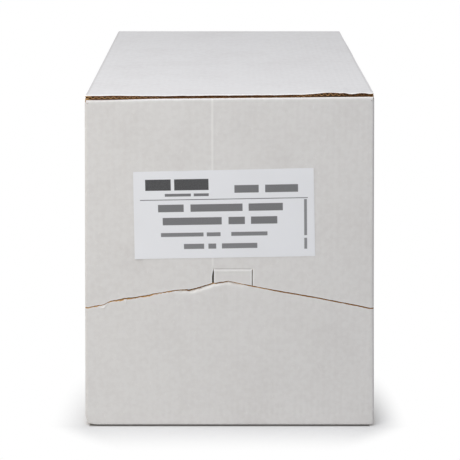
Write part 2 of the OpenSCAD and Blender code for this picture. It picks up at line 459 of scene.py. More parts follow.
def wall(columns, turn, bands=("low", "high", "fold")):
    """A panel of wall with its outer and inner skin. Its low band goes from the free edge to the middle
    height, its high band from there to the corner notch, and its fold rolls a quarter circle inwards into the
    end plane, up for a turn of 1 and down for -1."""
    x, y, nx, ny, end, edge, middle, push, retreat, across, wear = columns
    tangent = end - turn * FOLD
    notch = end - turn * SLOT_DROP

    def skin(start, set_in, radius, pushed):
        flat = np.full(len(x), set_in)
        heights = {
            "low": start + (middle - start) * LOW_ROWS,
            "high": middle + (notch - middle) * HIGH_ROWS,
            "fold": np.vstack([notch, tangent + turn * radius * np.sin(QUARTER) ** FOLD_SHARP]),
        }
        depths = {
            "low": flat + 0 * LOW_ROWS,
            "high": flat + 0 * HIGH_ROWS,
            "fold": np.vstack([flat, FOLD - radius * np.cos(QUARTER) ** FOLD_SHARP + 0 * x]),
        }
        z = np.vstack([heights[band][min(k, 1) :] for k, band in enumerate(bands)])
        depth = np.vstack([depths[band][min(k, 1) :] for k, band in enumerate(bands)])
        bulge = (ny < 0) * ny**2 * front_out(x, z) + nx**2 * side_out(y, z)
        fade = smooth((tangent - z) * turn / 14)
        depth = depth - bulge * fade + pushed * np.clip(1 - np.abs(z - edge) / 2.3, 0, 1) ** 1.3
        return grid(x - nx * depth, y - ny * depth, z)

    outer = skin(edge + turn * retreat, 0.0, FOLD, push)
    inner = skin(edge, BOARD, INNER_FOLD, 0.0)
    ragged = np.zeros(outer.shape[:2])
    if bands[0] == "low":
        ragged[0] = 0.28 * raggedness(x, y)
    return outer, inner, across + 0 * ragged, ragged, wear(x, y, outer[..., 2], edge)


def flap(along, sides, faces, axes, count=(14, 70)):
    """A flat panel that narrows. It goes from the first value in along to the second, its sides go from the
    first pair in sides to the second, and its outer and inner skin lie at the two values in faces. axes says
    which axis each of the three is on."""
    t = np.linspace(0, 1, count[0])[:, None]
    s = np.linspace(0, 1, count[1])[None, :]
    low = sides[0][0] + (sides[1][0] - sides[0][0]) * t
    high = sides[0][1] + (sides[1][1] - sides[0][1]) * t
    across = low + (high - low) * s
    skins = []
    for face in faces:
        points = np.empty(across.shape + (3,))
        points[..., axes[0]] = along[0] + (along[1] - along[0]) * t
        points[..., axes[1]] = across
        points[..., axes[2]] = face
        skins.append(points)
    return skins[0], skins[1], across, 0 * across, 0 * across


# ---------------------------------------------------------------- closed boards

RIM_STEPS = 4
BEVEL = 4  # how steeply a torn edge rises just behind its outer liner
WELD = 0.002


def grid_quads(shape, base):
    """Corner numbers of the quads of a grid whose points start at base."""
    index = base + np.arange(shape[0] * shape[1]).reshape(shape)
    corners = [index[:-1, :-1], index[:-1, 1:], index[1:, 1:], index[1:, :-1]]
    return np.stack(corners, axis=-1).reshape(-1, 4)


def close_board(panels, finishes=(WHITE, KRAFT, CUT), layers=(0.0, 1.0), seed=1):
    """A closed board. Its panels are (outer skin, inner skin, place across the flutes, raggedness, wear of
    the outer skin) on grids that share their corners where they meet. Each free edge is closed from skin to
    skin in steps. Where it is ragged, the steps rise steeply at first and stray up and down as torn paper
    does. layers is the share of the full thickness that the two skins lie at, less the wear. Returns points,
    quads, finishes of the quads and the edge map of the points."""
    shapes = [panel[0].shape[:2] for panel in panels]
    bases = np.concatenate([[0], np.cumsum([rows * columns for rows, columns in shapes])])
    outer, inner = (np.vstack([panel[k].reshape(-1, 3) for panel in panels]) for k in (0, 1))
    across, ragged, worn = (np.concatenate([panel[k].ravel() for panel in panels]) for k in (2, 3, 4))
    quads = np.vstack([grid_quads(shape, base) for shape, base in zip(shapes, bases)])
    _, first, same = np.unique(np.round(outer / WELD + 0.137), axis=0, return_index=True, return_inverse=True)
    outer, inner, across, ragged, worn = (values[first] for values in (outer, inner, across, ragged, worn))
    quads = same.reshape(-1)[quads]

    sides = np.stack([quads, np.roll(quads, -1, axis=1)], axis=-1).reshape(-1, 2)
    _, where, uses = np.unique(np.sort(sides, axis=1), axis=0, return_index=True, return_counts=True)
    rim = sides[where[uses == 1]]
    ring = np.unique(rim)
    place = np.searchsorted(ring, rim)
    count = len(outer)
    shares = np.arange(1, RIM_STEPS) / RIM_STEPS
    between = outer[ring] + (inner[ring] - outer[ring]) * shares[:, None, None]
    for step in range(RIM_STEPS - 1):
        steep = 1 - (1 - shares[step]) ** np.where(ragged[ring] > 0, BEVEL, 1)
        between[step, :, 2] += (inner[ring, 2] - outer[ring, 2]) * (steep - shares[step])
        between[step, :, 2] += ragged[ring] * noise(outer[ring, 0] + outer[ring, 1], 0.45, seed + step)
    levels = [rim] + [2 * count + step * len(ring) + place for step in range(RIM_STEPS - 1)] + [count + rim]
    strips = [
        np.column_stack([upper[:, 1], upper[:, 0], lower[:, 0], lower[:, 1]])
        for upper, lower in zip(levels[:-1], levels[1:])
    ]

    points = np.vstack([outer, inner, between.reshape(-1, 3)])
    depths = layers[0] + (layers[1] - layers[0]) * np.concatenate(
        [np.zeros(count), np.ones(count), np.repeat(shares, len(ring))]
    )
    depths[:count] -= worn
    places = np.concatenate([across, across] + [across[ring]] * (RIM_STEPS - 1))
    chart = np.column_stack([places / PITCH, depths])
    faces = np.vstack([quads, quads[:, ::-1] + count] + strips)
    slots = np.repeat(finishes, [len(quads), len(quads), sum(len(strip) for strip in strips)])
    return settle(points), faces, slots, chart


def add_piece(name, boards, finishes, slot, body=None, bend=None, replaced=()):
    """Makes one object of closed boards, with crisp folds. It rides on a body, or, where bend is (body, body,
    start, end), it is baked where it stands and rides on neither; the bodies, start and end are not used. Its
    edge map is the mesh's UV map."""
    bases = np.concatenate([[0], np.cumsum([len(board[0]) for board in boards])])
    points = np.vstack([board[0] for board in boards]) * MM
    quads = np.vstack([board[1] + base for board, base in zip(boards, bases)])
    slots = np.concatenate([board[2] for board in boards])
    chart = np.vstack([board[3] for board in boards])
    mesh = bpy.data.meshes.new(name)
    mesh.vertices.add(len(points))
    mesh.vertices.foreach_set("co", points.astype(np.float32).ravel())
    mesh.loops.add(quads.size)
    mesh.loops.foreach_set("vertex_index", quads.astype(np.int32).ravel())
    mesh.polygons.add(len(quads))
    mesh.polygons.foreach_set("loop_start", np.arange(0, quads.size, 4, dtype=np.int32))
    mesh.polygons.foreach_set("material_index", slots.astype(np.int32))
    edge_map = chart[quads.ravel()].astype(np.float32)
    mesh.uv_layers.new(name="cut_edge").data.foreach_set("uv", edge_map.ravel())
    mesh.update(calc_edges=True)
    mesh.validate()
    work = bmesh.new()
    work.from_mesh(mesh)
    bmesh.ops.recalc_face_normals(work, faces=work.faces)
    for face in work.faces:
        face.smooth = True
    work.to_mesh(mesh)
    work.free()
    mesh.set_sharp_from_angle(angle=math.radians(40))
    for finish in finishes:
        mesh.materials.append(finish)
    piece = bpy.data.objects.new(name, mesh)
    bpy.context.scene.collection.objects.link(piece)
    if bend:
        first, second, start, end = bend
        [v * MM for v in start]
        [v * MM for v in end]
        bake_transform(piece)
    else:
        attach(piece, body)
    if replaced:
        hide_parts(*replaced)


# ---------------------------------------------------------------- shader helper


class Wire:
    """A socket of a finish's nodes, on which arithmetic can be written."""

    def __init__(self, finish, socket):
        self.finish = finish
        self.socket = socket

    def math(self, operation, *values):
        return self.finish.node("Math", {"operation": operation}, dict(enumerate(values)))

    def __add__(self, other):
        return self.math("ADD", self, other)

    def __sub__(self, other):
        return self.math("SUBTRACT", self, other)

    def __rsub__(self, other):
        return self.math("SUBTRACT", other, self)

    def __mul__(self, other):
        return self.math("MULTIPLY", self, other)

    def __abs__(self):
        return self.math("ABSOLUTE", self)

    __radd__ = __add__
    __rmul__ = __mul__

    def sine(self):
        return self.math("SINE", self)

    def most(self, other):
        return self.math("MAXIMUM", self, other)

    def step(self, low, high):
        """0 up to low, 1 from high, and an S curve between. With low above high it falls instead."""
        values = {"Value": self, "From Min": min(low, high), "From Max": max(low, high)}
        values["To Min"] = float(low > high)
        values["To Max"] = float(low < high)
        return self.finish.node("MapRange", {"interpolation_type": "SMOOTHSTEP"}, values)


class Finish:
    """One material, or the world, and the nodes that make it."""

    def __init__(self, owner):
        owner.use_nodes = True
        self.owner = owner
        self.tree = owner.node_tree

    def node(self, kind, settings=None, values=None, output=0):
        """Adds a node: its settings come first, then the values or wires of its sockets."""
        node = self.tree.nodes.new("ShaderNode" + kind)
        for key, value in (settings or {}).items():
            setattr(node, key, value)
        self.fill(node, values or {})
        return Wire(self, node.outputs[output])

    def fill(self, node, values):
        """Gives a node's sockets their values or wires."""
        for key, value in values.items():
            if isinstance(value, Wire):
                self.tree.links.new(value.socket, node.inputs[key])
            else:
                node.inputs[key].default_value = value

    def surface(self, colour, roughness, mirroring, relief=None):
        """Gives the material's own shader its colour, roughness, share of mirroring and relief."""
        values = {"Base Color": colour, "Roughness": roughness, "Specular IOR Level": mirroring}
        if relief:
            values["Normal"] = relief
        self.fill(self.tree.nodes["Principled BSDF"], values)
        return self.owner

    def place(self):
        """Position on the piece in millimetres, as one vector and as its three parts."""
        position = self.node("TexCoord", output="Object")
        scaled = self.node("VectorMath", {"operation": "SCALE"}, {0: position, "Scale": 1 / MM})
        return scaled, [self.node("SeparateXYZ", None, {0: scaled}, output=axis) for axis in "XYZ"]

    def grain(self, vector, size, detail=2.0, stretch=(1, 1, 1)):
        """Noise from 0 to 1 whose lumps are about size millimetres across, drawn out along stretch."""
        drawn = self.node("Mapping", None, {"Vector": vector, "Scale": [1 / s for s in stretch]})
        return self.node("TexNoise", None, {"Vector": drawn, "Scale": 1 / size, "Detail": detail})

    def blend(self, factor, first, second):
        """A colour between two, which are colours or wires."""
        first, second = (value if isinstance(value, Wire) else (*value, 1.0) for value in (first, second))
        return self.node("Mix", {"data_type": "RGBA"}, {0: factor, 6: first, 7: second}, output=2)

    def relief(self, height, distance):
        """Surface relief from a height of 0 to 1 that stands for this many millimetres."""
        return self.node("Bump", None, {"Height": height, "Distance": distance * MM})

    def seen(self):
        """1 for rays from the camera, mirrors and glass, which see the plain white background."""
        camera, glossy, glass = (
            self.node("LightPath", output=ray)
            for ray in ("Is Camera Ray", "Is Glossy Ray", "Is Transmission Ray")
        )
        return camera.most(glossy).most(glass)


def new_finish(name):
    return Finish(bpy.data.materials.new(name))


# ---------------------------------------------------------------- finishes of the carton

WHITE_BOARD = (0.775, 0.765, 0.757)
GREYED_BOARD = (0.712, 0.695, 0.686)
# pale of loose fibres and wear, and of the painted highlights
PALE_FIBRE_AND_HIGHLIGHT = (0.93, 0.925, 0.91)
# grey of the painted shade in the crease's groove, along the top's sides and at the bottom of the front
PAINTED_SHADE_GREY = (0.5, 0.485, 0.475)
KRAFT_BOARD = (0.43, 0.245, 0.115)
DARK_KRAFT = (0.30, 0.155, 0.065)
CUT_PAPER = (0.15, 0.062, 0.022)
PALE_CUT = (0.37, 0.19, 0.08)
FRAYED_PAPER = (0.66, 0.37, 0.17)
TORN_PAPER = (0.66, 0.40, 0.17)
AGED_PAPER = (0.33, 0.155, 0.03)
# painted shade in the open flutes of cut edges and on the lower liner under the lifted flap
PAINTED_EDGE_SHADE = (0.035, 0.012, 0.004)
LABEL_WHITE = (0.88, 0.893, 0.93)
LABEL_PRINT = (0.032, 0.032, 0.034)


def white_liner():
    """Bleached outer liner: cloudy, with fine fibres and the flutes showing faintly, greyed along its
    folds and pale along the tear where it is worn. Painted shade greys the groove of the tab's crease, a
    line along each side of the top and the bottom of the front panel; painted highlights pale the top's
    front edge, the crest of the front panel's fold under it, the ridge by the left slit and a band under the
    tab's crease, and, with wear, the sides of the slits."""
    finish = new_finish("white_liner")
    at, (x, y, z) = finish.place()
    normal = finish.node("TexCoord", output="Normal")
    sideways = abs(finish.node("SeparateXYZ", None, {0: normal}, output="X")).step(0.55, 0.8)
    flute_place = x + (y - x) * sideways
    flutes = (flute_place * (2 * math.pi / PITCH)).sine() * 0.5 + 0.5
    clouds = finish.grain(at, 34, 3.0)
    patches = finish.grain(at, 7, 3.0)
    fibres = finish.grain(at, 0.9, 4.0, (1, 1, 2.6))
    square_x = abs(x) + (z * (1 / TOP) - 0.5) * (2 * TAPER) - SPREAD
    square_z = z - x * (SKEW / HALF_W) - RISE
    fold = square_x.step(HALF_W - 2.4, HALF_W - 0.4) * abs(y).step(BACK - 2.4, BACK - 0.4)
    # painted shade: a grey line along each side of the top, just in from its edge
    top_side_shade = abs(square_x - HALF_W + 0.9).step(0.8, 0.4) * z.step(TOP - 1.2, TOP - 0.6)
    mottled = finish.grain(at, 3.0, 4.0).step(0.3, 0.7)
    greyed = clouds.step(0.42, 0.72) * 0.4 + patches.step(0.5, 0.8) * 0.25 + mottled * 0.55 - 0.125
    greyed = greyed + fold * 0.4
    colour = finish.blend(greyed, WHITE_BOARD, GREYED_BOARD)
    half_tab = (TAB_RIGHT - TAB_LEFT) / 2
    in_tab = abs(x - TAB_LEFT - half_tab).step(half_tab, half_tab - 0.8)
    on_panel = y.step(FRONT + 1.2, FRONT + 0.8)
    # painted shade: greys the groove of the tab's crease
    crease_shade = abs(z - CREASE).step(0.45, 0.15) * in_tab * y.step(FRONT + 1.0, FRONT + 0.5)
    # painted shade: greys the lowest strip of the front panel, most at its left and none at its right
    foot_shade = z.step(0.75, 0.3) * y.step(FRONT + 1.5, FRONT + 1.0) * (0.8 - x.step(-60, 70) * 0.8)
    # painted shade: the crease's groove, the top's sides and the bottom of the front turn grey
    colour = finish.blend((crease_shade * 0.35).most(top_side_shade * 0.35).most(foot_shade), colour, PAINTED_SHADE_GREY)
    chart = finish.node("UVMap", {"uv_map": "cut_edge"})
    # the edge map's wear, which also carries the painted highlights beside the slits and under the tab's
    # crease
    worn = 0.0 - finish.node("SeparateXYZ", None, {0: chart}, output="Y")
    # painted highlight: pales the top's front edge
    flap_edge_highlight = y.step(FRONT + 5.0, FRONT + 2.6) * square_z.step(TOP - 1.5, TOP - 0.9)
    # painted highlight: pales the ridge pressed up the front panel from the left slit
    ridge_highlight = abs(x - RIDGE_X).step(0.9, 0.2) * z.step(CREASE + 0.5, CREASE + 3) * on_panel
    # painted highlight: pales the crest of the front panel's fold under the top flap
    fold_crest_highlight = square_z.step(DECK - 0.8, DECK - 0.3) * on_panel
    # pale fibres and wear, and the painted highlights above
    pale = (fibres.step(0.62, 0.8) * 0.35).most(flap_edge_highlight).most(fold_crest_highlight).most(ridge_highlight * 0.42).most(worn)
    colour = finish.blend(pale, colour, PALE_FIBRE_AND_HIGHLIGHT)
    height = flutes * 0.35 + patches * 0.4 + fibres * 0.25
    return finish.surface(colour, 0.62 + fibres * 0.16, 0.35, finish.relief(height, 0.09))


def kraft_liner():
    """Brown inner liner: streaky, with darker and paler fibres."""
    finish = new_finish("kraft_liner")
    at, _ = finish.place()
    clouds = finish.grain(at, 22, 3.0)
    streaks = finish.grain(at, 1.6, 4.0, (1, 1, 5))
    specks = finish.grain(at, 0.5, 2.0)
    colour = finish.blend(clouds * 0.5 + streaks.step(0.4, 0.8) * 0.5, KRAFT_BOARD, DARK_KRAFT)
    colour = finish.blend(specks.step(0.66, 0.76) * 0.6, colour, PALE_CUT)
    height = streaks * 0.6 + specks * 0.4
    return finish.surface(colour, 0.78 + streaks * 0.12, 0.25, finish.relief(height, 0.08))


def cut_edge():
    """Cut edge of the board: two liners and the wave between them, round flutes filled with painted shade,
    and paler below the top, where it is torn paper. Towards its two ends the wave is frayed and pale, and
    painted shade darkens the lower liner where the flap stands off. The edge map's first number counts
    waves along the edge, and its second goes from 0 to 1 through the board."""
    finish = new_finish("cut_edge")
    at, (x, y, z) = finish.place()
    chart = finish.node("UVMap", {"uv_map": "cut_edge"})
    along, through = (finish.node("SeparateXYZ", None, {0: chart}, output=axis) for axis in "XY")
    fuzz = finish.grain(at, 0.35, 3.0)
    depth = through - 0.5 + (fuzz - 0.5) * 0.16
    wave = (along * (2 * math.pi)).sine() * 0.3
    paper = abs(depth - wave).step(0.15, 0.08).most(abs(depth).step(0.28, 0.34))
    colour = finish.blend(finish.grain(at, 1.8, 3.0).step(0.45, 0.75), CUT_PAPER, PALE_CUT)
    frayed = x.step(-32, -50).most(abs(x - 49).step(18, 9)) * abs(through - 0.5).step(0.2, 0.1)
    colour = finish.blend(frayed * finish.grain(at, 2.6, 2.0).step(0.2, 0.5), colour, FRAYED_PAPER)
    # painted shade: the lower liner darkens where the flap stands off
    shaded = abs(x - 55).step(17, 9).most(x.step(-40, -52) * 0.7) * through.step(0.62, 0.78)
    colour = finish.blend(shaded * 0.9, colour, PAINTED_EDGE_SHADE)
    # painted shade fills the open flutes between the papers
    colour = finish.blend(paper, PAINTED_EDGE_SHADE, colour)
    torn = z.step(DECK - 4, DECK - 8).most(abs(x).step(CORNER_X - 4, CORNER_X - 1) * 0.8)
    aged = (finish.grain(at, 7, 2.0).step(0.4, 0.62) * x.step(-66, -56)).most(x.step(12, 30))
    torn_colour = finish.blend(aged, TORN_PAPER, AGED_PAPER)
    torn_colour = finish.blend(y.step(FRONT + 3, FRONT + 7), torn_colour, KRAFT_BOARD)
    colour = finish.blend(torn, colour, torn_colour)
    return finish.surface(colour, 0.85, 0.2, finish.relief(fuzz * 0.5 + paper * 0.5, 0.15))


# The label's print: plain bars that stand for lines of text. Each row is its height above the label's middle,
# the height of its bars, how much ink they have, and where each bar starts and ends.
PRINT_ROWS = (
    (17.3, 6.4, 1.0, ((-43.8, -29.5), (-27.6, -8.4))),
    (11.4, 1.6, 0.85, ((-33.0, -18.4), (-16.8, -8.4))),
    (14.4, 4.4, 0.85, ((6.0, 19.6), (23.2, 41.6))),
    (8.7, 0.45, 0.9, ((-47.0, 47.0),)),
    (3.8, 4.3, 0.85, ((-37.0, -22.6), (-18.8, 10.4), (13.8, 33.0))),
    (-3.8, 4.3, 0.85, ((-34.6, -1.4), (2.4, 11.6), (15.0, 29.8))),
    (-11.6, 2.3, 0.8, ((-35.8, -11.8), (-10.0, -2.2), (3.8, 24.2))),
    (-18.5, 3.0, 0.8, ((-23.0, -11.6), (-9.2, -4.8), (-1.6, 18.4))),
    (-2.6, 21.0, 0.75, ((44.9, 46.5),)),
    (-17.8, 6.4, 0.75, ((44.9, 46.5),)),
)


def label_paper():
    """Smooth white label paper, with grey bars of print in rows that follow its tilt."""
    finish = new_finish("label_paper")
    at, _ = finish.place()
    centre = [*((label_low + label_high) / 2)]
    turned = {"Vector": at, "Location": centre, "Rotation": (0, -LABEL_TILT, 0)}
    on_label = finish.node("Mapping", {"vector_type": "TEXTURE"}, turned)
    across, up = (finish.node("SeparateXYZ", None, {0: on_label}, output=axis) for axis in "XZ")
    fuzz = finish.grain(at, 0.5, 2.0)
    ink = None
    for height, tall, strength, bars in PRINT_ROWS:
        row = abs(up - height).step(tall / 2 + 0.1, tall / 2 - 0.1) * strength
        words = None
        for start, end in bars:
            bar = abs(across - (start + end) / 2).step((end - start) / 2 + 0.1, (end - start) / 2 - 0.1)
            words = bar if words is None else words + bar
        ink = row * words if ink is None else ink + row * words
    paper = finish.blend(finish.grain(at, 26, 2.0).step(0.4, 0.8) * 0.5, LABEL_WHITE, (0.85, 0.862, 0.895))
    colour = finish.blend(ink * (0.9 + fuzz * 0.1), paper, LABEL_PRINT)
    return finish.surface(colour, 0.46 + fuzz * 0.1, 0.4, finish.relief(finish.grain(at, 1.2, 3.0), 0.02))


board_finishes = [white_liner(), kraft_liner(), cut_edge()]
label_finishes = [label_paper()] * 2 + [board_finishes[WHITE]]


def add_board(name, boards, **placing):
    """Makes one object of white board."""
    add_piece(name, boards, board_finishes, "white_board", **placing)


# ---------------------------------------------------------------- the tray

BASE_TOP = 2 * BOARD
LEAST_GAP = 0.03
FLAP_SHORT = 0.8  # how far an outer flap's cut edge stops short of the wall
front_x = stations(
    (-CORNER_X, 0.34),
    (WINDOW_LEFT, 0.34),
    (PEAK_X, 0.5),
    (WINDOW_RIGHT, 0.25),
    (WINDOW_RIGHT + 2, 0.8),
    (CORNER_X, 1.0),
)
side_y = stations((FRONT_FOLD_Y, 1.6), (HOOD_END, 1.0))
tray_side_y, seam_side_y = (
    np.concatenate([side_y, stations((TRAY_STEP, TINY), (TRAY_STEP + TINY, 1.0), (fold_y, 1.0))])
    for fold_y in (BACK_FOLD_Y, SEAM_FOLD_Y)
)
back_x = stations(
    (-HALF_W + SEAM_INSET, 1.0),
    (-CORNER_X, TINY),
    (-CORNER_X + TINY, 1.8),
    (CORNER_X - TINY, TINY),
    (CORNER_X, 1.0),
)


def tray_walls():
    """Walls of the tray, one run of board from the back panel's cut edge at the left, round the right side,
    the front and the left side, and in behind the back panel."""
    sides = (BOARD, BOARD)
    runs = [
        columns_along(back_x, BACK, (0, 1), TRAY, BOARD),
        corner((CORNER_X, BACK_FOLD_Y), 90, 0, TRAY, sides),
        columns_along(HALF_W + 0 * tray_side_y, tray_side_y[::-1], (1, 0), TRAY, BOARD),
        corner((CORNER_X, FRONT_FOLD_Y), 0, -90, TRAY, (BOARD, 0)),
        columns_along(front_x[::-1], FRONT, (0, -1), TRAY, 0),
        corner((-CORNER_X, FRONT_FOLD_Y), -90, -180, TRAY, (0, BOARD)),
        columns_along(-HALF_W + 0 * seam_side_y, seam_side_y, (-1, 0), TRAY, BOARD),
        corner((-CORNER_X, SEAM_FOLD_Y), -180, -270, TRAY, sides),
    ]
    flakes = [flake(-74.0, -68.6, 1.7, 0.35), flake(-59.4, -57.9, 2.2, 0.3)]
    return [close_board([wall(columns, -1) for columns in runs], seed=3), *flakes]


def dust_flaps(side_range, faces):
    """The pair of flaps folded in from the two sides, between two places along y."""
    low, high = side_range
    sides = ((low, high), (low + FLAP_TAPER, high - FLAP_TAPER))
    reach = np.array([HALF_W - FOLD_REACH, HALF_W - DUST_FLAP])
    return [close_board([flap(turn * reach, sides, faces, (0, 1, 2))]) for turn in (-1, 1)]


def glue_flap(along, faces):
    """The flap folded in from the front or back panel, which the outer flap is glued to."""
    half = HALF_W - SLOT
    sides = ((-half, half), (-half + FLAP_TAPER, half - FLAP_TAPER))
    return [close_board([flap(along, sides, faces, (1, 0, 2))])]


def seam_flap():
    """The maker's glue tab, which carries on from the left side panel inside the back panel."""
    low, high = BASE_TOP + SEAM_CLEAR, DECK - BOARD - SEAM_CLEAR
    sides = ((low, high), (low + FLAP_TAPER, high - FLAP_TAPER))
    along = (-CORNER_X, -HALF_W + BOARD + SEAM_WIDTH)
    faces = (BACK - BOARD - LEAST_GAP, BACK - 2 * BOARD)
    return [close_board([flap(along, sides, faces, (0, 2, 1))])]


def fluted_flap(cut, fold, z_out, z_in, inset, lifted):
    """An outer flap from its open cut edge to its fold: two liners that stop there, a core that starts where
    the flutes stop standing open, and the wave of the inner paper, whose height is a sine along x, crushed
    and stretched by noise."""
    half = HALF_W - inset
    inward = np.sign(fold - cut)
    cut = cut + inward * FLAP_SHORT
    up = np.sign(z_out - z_in)
    x = np.linspace(-half, half, 300)[None, :]
    near = cut + inward * np.array([0, 0.25, 0.7, 1.5, OPEN_FLUTES])[:, None]
    far = np.linspace(near[-1, 0], fold, 26)[:, None]

    def sheet(y, heights, finishes, layers, across, rows_ragged=0.0):
        skins = [grid(across, y, height) for height in heights]
        if lifted:
            for points in skins:
                points[..., 2] += flap_lift(points)
        ragged = np.zeros(skins[0].shape[:2])
        ragged[0] = rows_ragged
        return close_board([(*skins, skins[0][..., 0], ragged, 0 * ragged)], finishes, layers, seed=13)

    share = LINER / BOARD
    brown = (KRAFT, KRAFT, CUT)
    whole = np.vstack([near, far[1:]])
    boards = [
        sheet(whole, (z_out, z_out - up * LINER), (WHITE, KRAFT, CUT), (0, share), x, 0.05),
        sheet(far, (z_out - up * LINER, z_in), brown, (share, 1), x),
        sheet(near, (z_in + up * LINER, z_in), brown, (1 - share, 1), x, 0.05),
    ]
    wave_x = np.linspace(-half + 0.3, half - 0.3, 1300)[None, :]
    wave_y = cut + inward * np.array([0, 0.5, 1.4, OPEN_FLUTES])[:, None]
    wave_y = wave_y + inward * 0.22 * (1 + noise(wave_x, 2.1, 23)) * (np.abs(wave_y - cut) < TINY)
    height = (BOARD - 2 * LINER - MEDIUM) / 2 * (1 - 0.25 * np.abs(noise(wave_x, 9, 21)))
    phase = 2 * np.pi * wave_x / PITCH + 0.7 * noise(wave_x, 13, 22)
    middle = (z_out + z_in) / 2 + height * np.sin(phase)
    skins = (middle + up * MEDIUM / 2, middle - up * MEDIUM / 2)
    wave = sheet(wave_y, skins, brown, (0.5, 0.5), wave_x)
    wave[3][:, 0] = 0
    return boards + [wave]


tray_outer_flap = fluted_flap(BACK, FRONT + FOLD_REACH, 0, BOARD, BASE_INSET, False)
tray_glue_flap = glue_flap((BACK - FOLD_REACH, BACK - GLUE_FLAP), (BOARD, BASE_TOP))
tray_dust_flaps = dust_flaps((-HOOD_END, BACK - GLUE_FLAP - SLOT), (BOARD, BASE_TOP))
add_board("tray_walls", tray_walls(), body="carton_body", replaced=["carton_body"])
add_board("tray_seam_flap", seam_flap(), body="carton_body")
add_board("tray_outer_flap", tray_outer_flap, body="carton_body")
add_board("tray_glue_flap", tray_glue_flap, body="carton_body")
add_board("tray_dust_flaps", tray_dust_flaps, body="carton_body")

# ---------------------------------------------------------------- the hood


def open_slit(panel):
    """Moves a panel's right side left below the crease, so that the slit gapes, most half way down."""
    for skin in panel[:2]:
        below = CREASE - skin[..., 2]
        gape = 0.4 * smooth(below / 0.6) + 0.5 * smooth(below / 4.5) - 0.3 * smooth((below - 7) / 6)
        skin[..., 0] -= gape * np.exp(-(WINDOW_LEFT - skin[..., 0]) / 3)
    return panel


def hood_walls():
    """Walls of the hood, from the left side's back end round the front to the right side's, less the notches
    at the front corners and the window that the thumb tab fills."""
    left_x = front_x[front_x < WINDOW_LEFT + TINY / 2]
    right_x = front_x[front_x > WINDOW_RIGHT - TINY / 2]
    ends = (DECK, DECK)
    corner_bands = ("low", "high")
    panels = [
        wall(columns_along(-HALF_W + 0 * side_y, side_y[::-1], (-1, 0), HOOD, DECK), 1),
        wall(corner((-CORNER_X, FRONT_FOLD_Y), -180, -90, HOOD, ends, NOTCH_RISE), 1, corner_bands),
        open_slit(wall(columns_along(left_x, FRONT, (0, -1), HOOD, DECK), 1, ("low",))),
        wall(columns_along(right_x, FRONT, (0, -1), HOOD, DECK), 1, ("low",)),
        widen_fold(wall(columns_along(front_x, FRONT, (0, -1), HOOD, DECK), 1, ("high", "fold"))),
        wall(corner((CORNER_X, FRONT_FOLD_Y), -90, 0, HOOD, ends, NOTCH_RISE), 1, corner_bands),
        wall(columns_along(HALF_W + 0 * side_y, side_y, (1, 0), HOOD, DECK), 1),
    ]
    return [close_board(panels, seed=5)]


def strip(rows_out, rows_in, half_left, half_right, columns):
    """A bent strip of board: its skins follow two lists of (y, z) rows, from a left to a right side in x."""
    s = np.linspace(0, 1, columns)[None, :]
    x = half_left[:, None] * (1 - s) + half_right[:, None] * s
    return [grid(x, rows[:, :1], rows[:, 1:]) for rows in (rows_out, rows_in)]


def bend_strip():
    """The fold that the lid hinges on, from the back panel over a quarter circle onto the top. The top's
    corners are rounded off along an ellipse."""
    turn = np.radians(np.linspace(0, 90, 17))
    lip = np.linspace(0, BEND_LIP, 5)[:-1]

    def rows(radius, set_in):
        up = np.column_stack([np.full(4, BACK - set_in), BEND_Z + lip])
        centre_y, centre_z = BACK_FOLD_Y, TOP - FOLD
        bend = np.column_stack([centre_y + radius * np.cos(turn), centre_z + radius * np.sin(turn)])
        over = np.column_stack([BEND_Y + lip[::-1], np.full(4, TOP - set_in)])
        return np.vstack([up, bend, over])

    outer_rows, inner_rows = rows(FOLD, 0.0), rows(INNER_FOLD, BOARD)
    wide = smooth((outer_rows[:, 1] - DECK + 0.5) / 0.8)
    back_share = ((outer_rows[:, 0] - BEND_Y) / (BEND_LIP + 0.6)).clip(0, 1)
    rounded = 1 - np.sqrt(1 - back_share**2)
    narrow = CORNER_X - TINY
    left, right = (narrow + (HALF_W - FLAP_INSET - narrow - cut * rounded) * wide for cut in BEND_CORNERS)
    outer, inner = strip(outer_rows, inner_rows, -left, right, 90)
    return [close_board([(outer, inner, outer[..., 0], 0 * outer[..., 0], 0 * outer[..., 0])])]


def crease_strip():
    """The thumb tab's crease: a groove along the fold with a slight swelling under it. Above the crease it
    fills the window, and below it it is as wide as the tab."""
    z = stations((CREASE_LOW, 0.35), (CREASE - 0.9, 0.1), (CREASE + 0.5, 0.2), (CREASE_TOP, 0.2))[:, None]
    tab_share = smooth((CREASE - 0.15 - z[:, 0]) / 0.35)
    s = np.linspace(0, 1, 60)[None, :]
    left = WINDOW_LEFT + (TAB_LEFT - WINDOW_LEFT) * tab_share
    right = WINDOW_RIGHT + (TAB_RIGHT - WINDOW_RIGHT) * tab_share
    x = left[:, None] * (1 - s) + right[:, None] * s
    panel_out = front_out(x, z)
    shape = 0.17 * hump(z, CREASE - 1.1, 0.5) - 0.22 * hump(z, CREASE, 0.3)
    outer = grid(x, FRONT - panel_out - shape, z)
    inner = grid(x, FRONT + BOARD - panel_out, z)
    # painted highlight: a pale band on the swelling under the crease, over the pale slit sides
    worn = slit_wear_and_highlight(x, z, (left[:, None] + 0.4, right[:, None] - 0.4)).clip(0.6 * hump(z, CREASE - 1.2, 0.6))
    return [close_board([(outer, inner, x, 0 * x, worn)])]


def tab_board():
    """The thumb tab below its crease, down to the tear."""
    x = stations((TAB_LEFT, 0.3), (TAB_RIGHT, 0.3))
    return [close_board([wall(columns_along(x, FRONT, (0, -1), TAB, DECK), 1, ("low",))], seed=7)]


